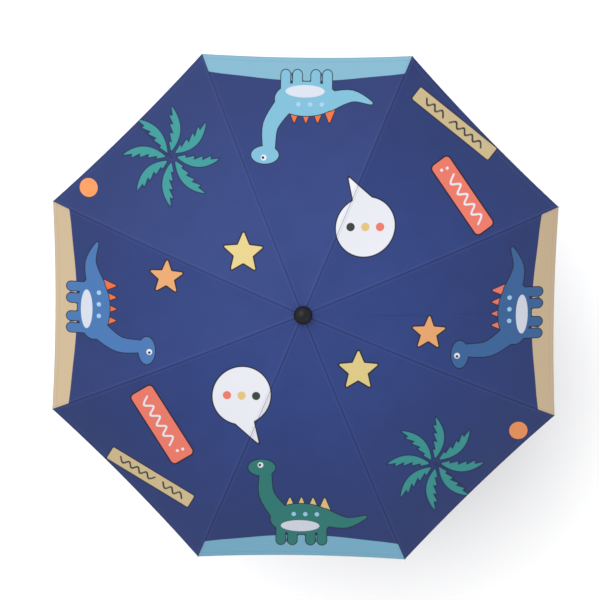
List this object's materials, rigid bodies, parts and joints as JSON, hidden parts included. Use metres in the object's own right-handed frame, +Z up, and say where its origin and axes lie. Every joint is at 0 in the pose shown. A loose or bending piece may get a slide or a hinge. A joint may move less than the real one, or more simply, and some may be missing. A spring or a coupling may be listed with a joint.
{
  "type": "children's umbrella",
  "caption": "Children's stick umbrella with a printed dome canopy, folding ribs, a sliding runner and a crook handle.",
  "frame": {"origin": "centre of the straight part of the handle's grip, on the shaft's axis", "axes": "+Z up along the shaft to the cap; +X towards the crook's open end; the canopy's panels face +X, +Y, -X, -Y and the diagonals"},
  "size_m": [0.7832, 0.7832, 0.6217],
  "materials": {
    "steel": "bright zinc-plated steel wire and tube",
    "black_plastic": "satin moulded plastic",
    "blue_cloth": "printed plain-weave polyester"
  },
  "bodies": {
    "shaft_assembly": {"shaft": "steel", "crown": "black_plastic", "crown_ring": "steel", "top_cap": "black_plastic", "cap_washer": "black_plastic", "stop_collar": "steel", "handle": "black_plastic", "handle_collar": "steel"},
    "runner": {"runner": "black_plastic", "runner_ring": "steel"},
    "top_catch": {"top_catch": "steel"},
    "bottom_catch": {"bottom_catch": "steel"},
    "rib_1": {"rib_1": "steel", "rib_tip_1": "black_plastic", "canopy_1_left": "blue_cloth", "canopy_1_right": "blue_cloth"},
    "stretcher_1": {"stretcher_1": "steel"},
    "rib_2": {"rib_2": "steel", "rib_tip_2": "black_plastic", "canopy_2_left": "blue_cloth", "canopy_2_right": "blue_cloth"},
    "stretcher_2": {"stretcher_2": "steel"},
    "rib_3": {"rib_3": "steel", "rib_tip_3": "black_plastic", "canopy_3_left": "blue_cloth", "canopy_3_right": "blue_cloth"},
    "stretcher_3": {"stretcher_3": "steel"},
    "rib_4": {"rib_4": "steel", "rib_tip_4": "black_plastic", "canopy_4_left": "blue_cloth", "canopy_4_right": "blue_cloth"},
    "stretcher_4": {"stretcher_4": "steel"},
    "rib_5": {"rib_5": "steel", "rib_tip_5": "black_plastic", "canopy_5_left": "blue_cloth", "canopy_5_right": "blue_cloth"},
    "stretcher_5": {"stretcher_5": "steel"},
    "rib_6": {"rib_6": "steel", "rib_tip_6": "black_plastic", "canopy_6_left": "blue_cloth", "canopy_6_right": "blue_cloth", "tie_strap": "blue_cloth", "tie_stud": "steel"},
    "stretcher_6": {"stretcher_6": "steel"},
    "rib_7": {"rib_7": "steel", "rib_tip_7": "black_plastic", "canopy_7_left": "blue_cloth", "canopy_7_right": "blue_cloth"},
    "stretcher_7": {"stretcher_7": "steel"},
    "rib_8": {"rib_8": "steel", "rib_tip_8": "black_plastic", "canopy_8_left": "blue_cloth", "canopy_8_right": "blue_cloth"},
    "stretcher_8": {"stretcher_8": "steel"}
  },
  "joints": [
    {"name": "runner_slide", "type": "slide", "parent": "shaft_assembly", "child": "runner", "axis": [0, 0, 1], "range_m": [-0.24484, 0]},
    {"name": "rib_1_hinge", "type": "hinge", "parent": "shaft_assembly", "child": "rib_1", "pos_m": [0.00878, 0.00364, 0.52], "axis": [-0.3827, 0.9239, 0], "range_deg": [0, 67.37], "deforming": ["canopy_1_left", "canopy_1_right"]},
    {"name": "stretcher_1_pivot", "type": "hinge", "parent": "rib_1", "child": "stretcher_1", "pos_m": [0.17962, 0.0744, 0.4798], "axis": [-0.3827, 0.9239, 0], "range_deg": [-116.98, 0]},
    {"name": "rib_2_hinge", "type": "hinge", "parent": "shaft_assembly", "child": "rib_2", "pos_m": [0.00364, 0.00878, 0.52], "axis": [-0.9239, 0.3827, 0], "range_deg": [0, 67.37], "deforming": ["canopy_2_left", "canopy_2_right"]},
    {"name": "stretcher_2_pivot", "type": "hinge", "parent": "rib_2", "child": "stretcher_2", "pos_m": [0.0744, 0.17962, 0.4798], "axis": [-0.9239, 0.3827, 0], "range_deg": [-116.98, 0]},
    {"name": "rib_3_hinge", "type": "hinge", "parent": "shaft_assembly", "child": "rib_3", "pos_m": [-0.00364, 0.00878, 0.52], "axis": [-0.9239, -0.3827, 0], "range_deg": [0, 67.37], "deforming": ["canopy_3_left", "canopy_3_right"]},
    {"name": "stretcher_3_pivot", "type": "hinge", "parent": "rib_3", "child": "stretcher_3", "pos_m": [-0.0744, 0.17962, 0.4798], "axis": [-0.9239, -0.3827, 0], "range_deg": [-116.98, 0]},
    {"name": "rib_4_hinge", "type": "hinge", "parent": "shaft_assembly", "child": "rib_4", "pos_m": [-0.00878, 0.00364, 0.52], "axis": [-0.3827, -0.9239, 0], "range_deg": [0, 67.37], "deforming": ["canopy_4_left", "canopy_4_right"]},
    {"name": "stretcher_4_pivot", "type": "hinge", "parent": "rib_4", "child": "stretcher_4", "pos_m": [-0.17962, 0.0744, 0.4798], "axis": [-0.3827, -0.9239, 0], "range_deg": [-116.98, 0]},
    {"name": "rib_5_hinge", "type": "hinge", "parent": "shaft_assembly", "child": "rib_5", "pos_m": [-0.00878, -0.00364, 0.52], "axis": [0.3827, -0.9239, 0], "range_deg": [0, 67.37], "deforming": ["canopy_5_left", "canopy_5_right"]},
    {"name": "stretcher_5_pivot", "type": "hinge", "parent": "rib_5", "child": "stretcher_5", "pos_m": [-0.17962, -0.0744, 0.4798], "axis": [0.3827, -0.9239, 0], "range_deg": [-116.98, 0]},
    {"name": "rib_6_hinge", "type": "hinge", "parent": "shaft_assembly", "child": "rib_6", "pos_m": [-0.00364, -0.00878, 0.52], "axis": [0.9239, -0.3827, 0], "range_deg": [0, 67.37], "deforming": ["canopy_6_left", "canopy_6_right", "tie_strap"]},
    {"name": "stretcher_6_pivot", "type": "hinge", "parent": "rib_6", "child": "stretcher_6", "pos_m": [-0.0744, -0.17962, 0.4798], "axis": [0.9239, -0.3827, 0], "range_deg": [-116.98, 0]},
    {"name": "rib_7_hinge", "type": "hinge", "parent": "shaft_assembly", "child": "rib_7", "pos_m": [0.00364, -0.00878, 0.52], "axis": [0.9239, 0.3827, 0], "range_deg": [0, 67.37], "deforming": ["canopy_7_left", "canopy_7_right"]},
    {"name": "stretcher_7_pivot", "type": "hinge", "parent": "rib_7", "child": "stretcher_7", "pos_m": [0.0744, -0.17962, 0.4798], "axis": [0.9239, 0.3827, 0], "range_deg": [-116.98, 0]},
    {"name": "rib_8_hinge", "type": "hinge", "parent": "shaft_assembly", "child": "rib_8", "pos_m": [0.00878, -0.00364, 0.52], "axis": [0.3827, 0.9239, 0], "range_deg": [0, 67.37], "deforming": ["canopy_8_left", "canopy_8_right"]},
    {"name": "stretcher_8_pivot", "type": "hinge", "parent": "rib_8", "child": "stretcher_8", "pos_m": [0.17962, -0.0744, 0.4798], "axis": [0.3827, 0.9239, 0], "range_deg": [-116.98, 0]},
    {"name": "top_catch_press", "type": "hinge", "parent": "shaft_assembly", "child": "top_catch", "pos_m": [0.0022, 0, 0.31151], "axis": [0, -1, 0], "range_deg": [0, 7], "stiffness_Nm_per_rad": 0.05},
    {"name": "bottom_catch_press", "type": "hinge", "parent": "shaft_assembly", "child": "bottom_catch", "pos_m": [0.0022, 0, 0.14967], "axis": [0, 1, 0], "range_deg": [0, 7], "stiffness_Nm_per_rad": 0.05}
  ],
  "couplings": [
    {"joint": "rib_1_hinge", "follows": "runner_slide", "rad_per_m": -4.8025},
    {"joint": "stretcher_1_pivot", "follows": "runner_slide", "rad_per_m": 8.3389},
    {"joint": "rib_2_hinge", "follows": "runner_slide", "rad_per_m": -4.8025},
    {"joint": "stretcher_2_pivot", "follows": "runner_slide", "rad_per_m": 8.3389},
    {"joint": "rib_3_hinge", "follows": "runner_slide", "rad_per_m": -4.8025},
    {"joint": "stretcher_3_pivot", "follows": "runner_slide", "rad_per_m": 8.3389},
    {"joint": "rib_4_hinge", "follows": "runner_slide", "rad_per_m": -4.8025},
    {"joint": "stretcher_4_pivot", "follows": "runner_slide", "rad_per_m": 8.3389},
    {"joint": "rib_5_hinge", "follows": "runner_slide", "rad_per_m": -4.8025},
    {"joint": "stretcher_5_pivot", "follows": "runner_slide", "rad_per_m": 8.3389},
    {"joint": "rib_6_hinge", "follows": "runner_slide", "rad_per_m": -4.8025},
    {"joint": "stretcher_6_pivot", "follows": "runner_slide", "rad_per_m": 8.3389},
    {"joint": "rib_7_hinge", "follows": "runner_slide", "rad_per_m": -4.8025},
    {"joint": "stretcher_7_pivot", "follows": "runner_slide", "rad_per_m": 8.3389},
    {"joint": "rib_8_hinge", "follows": "runner_slide", "rad_per_m": -4.8025},
    {"joint": "stretcher_8_pivot", "follows": "runner_slide", "rad_per_m": 8.3389}
  ]
}
